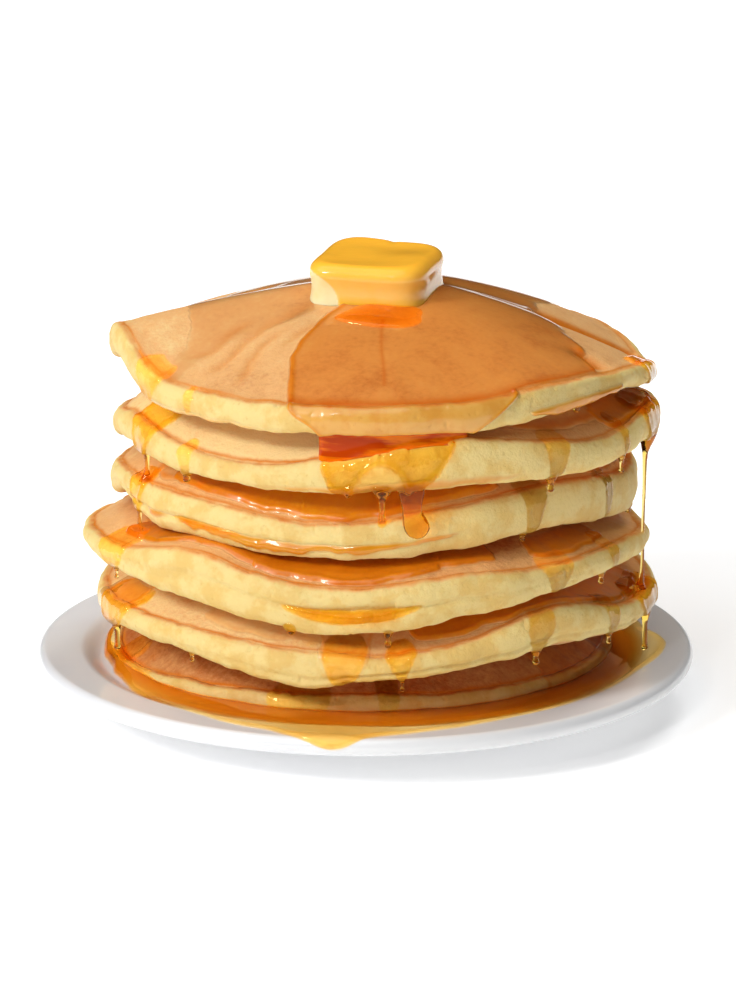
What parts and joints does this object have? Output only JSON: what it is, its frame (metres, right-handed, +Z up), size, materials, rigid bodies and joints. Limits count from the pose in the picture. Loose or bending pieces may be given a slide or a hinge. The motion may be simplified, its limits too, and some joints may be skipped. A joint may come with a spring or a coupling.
{
  "type": "pancake stack",
  "caption": "Stack of thick pancakes with a pat of butter and syrup, standing in a pool of syrup on a round plate with a flat rim.",
  "frame": {"origin": "middle of the plate's foot, on the surface that it stands on", "axes": "+Z up along the plate's axis; the shown front of the stack faces -Y"},
  "size_m": [0.2, 0.2, 0.1388],
  "materials": {
    "white_china": "smooth white glaze",
    "pancake_crumb": null,
    "soft_butter": null,
    "amber_syrup": null
  },
  "bodies": {
    "root": {"plate": "white_china", "syrup_pool": "amber_syrup", "pancake_1": "pancake_crumb", "pancake_2": "pancake_crumb", "pancake_3": "pancake_crumb", "pancake_4": "pancake_crumb", "pancake_5": "pancake_crumb", "pancake_6": "pancake_crumb", "butter": "soft_butter"}
  },
  "joints": []
}
